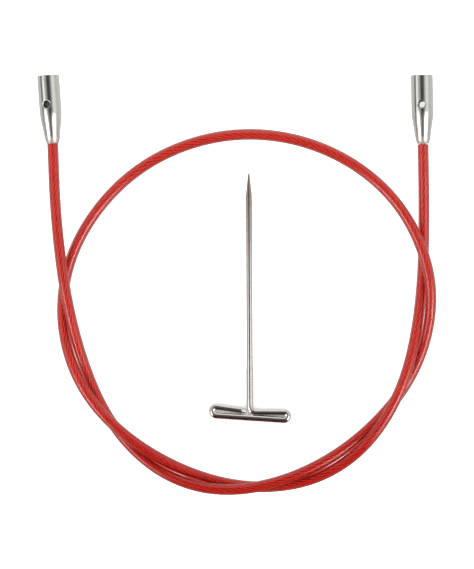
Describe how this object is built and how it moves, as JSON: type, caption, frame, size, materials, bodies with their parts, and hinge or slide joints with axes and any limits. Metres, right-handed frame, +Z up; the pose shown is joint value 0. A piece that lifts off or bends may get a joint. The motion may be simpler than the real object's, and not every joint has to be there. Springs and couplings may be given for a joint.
{
  "type": "circular knitting needle cable",
  "caption": "Coiled cable of an interchangeable circular knitting needle: a steel core in a translucent red jacket between threaded connectors, with a T-shaped tightening key.",
  "frame": {"origin": "on the surface the part lies on, midway between the outer sides of the two connectors, and midway between their mouths and the key's head", "axes": "+X across from the left connector to the right one, +Y along the connectors towards their mouths, +Z up from the surface"},
  "size_m": [0.0704, 0.0742, 0.004],
  "materials": {
    "polished_steel": "polished stainless steel",
    "red_nylon": "translucent, glossy",
    "strand_steel": "fine drawn wires",
    "key_steel": "nickel-plated wire"
  },
  "bodies": {
    "cable": {"connector_left": "polished_steel", "connector_right": "polished_steel", "cable_jacket": "red_nylon", "centre_strand": "strand_steel", "outer_strand_1": "strand_steel", "outer_strand_2": "strand_steel", "outer_strand_3": "strand_steel", "outer_strand_4": "strand_steel", "outer_strand_5": "strand_steel", "outer_strand_6": "strand_steel"},
    "key": {"tightening_key": "key_steel"}
  },
  "joints": [
    {"name": "key_lift", "type": "slide", "parent": "cable", "child": "key", "axis": [0, 0, 1], "range_m": [0, 0.03]}
  ]
}
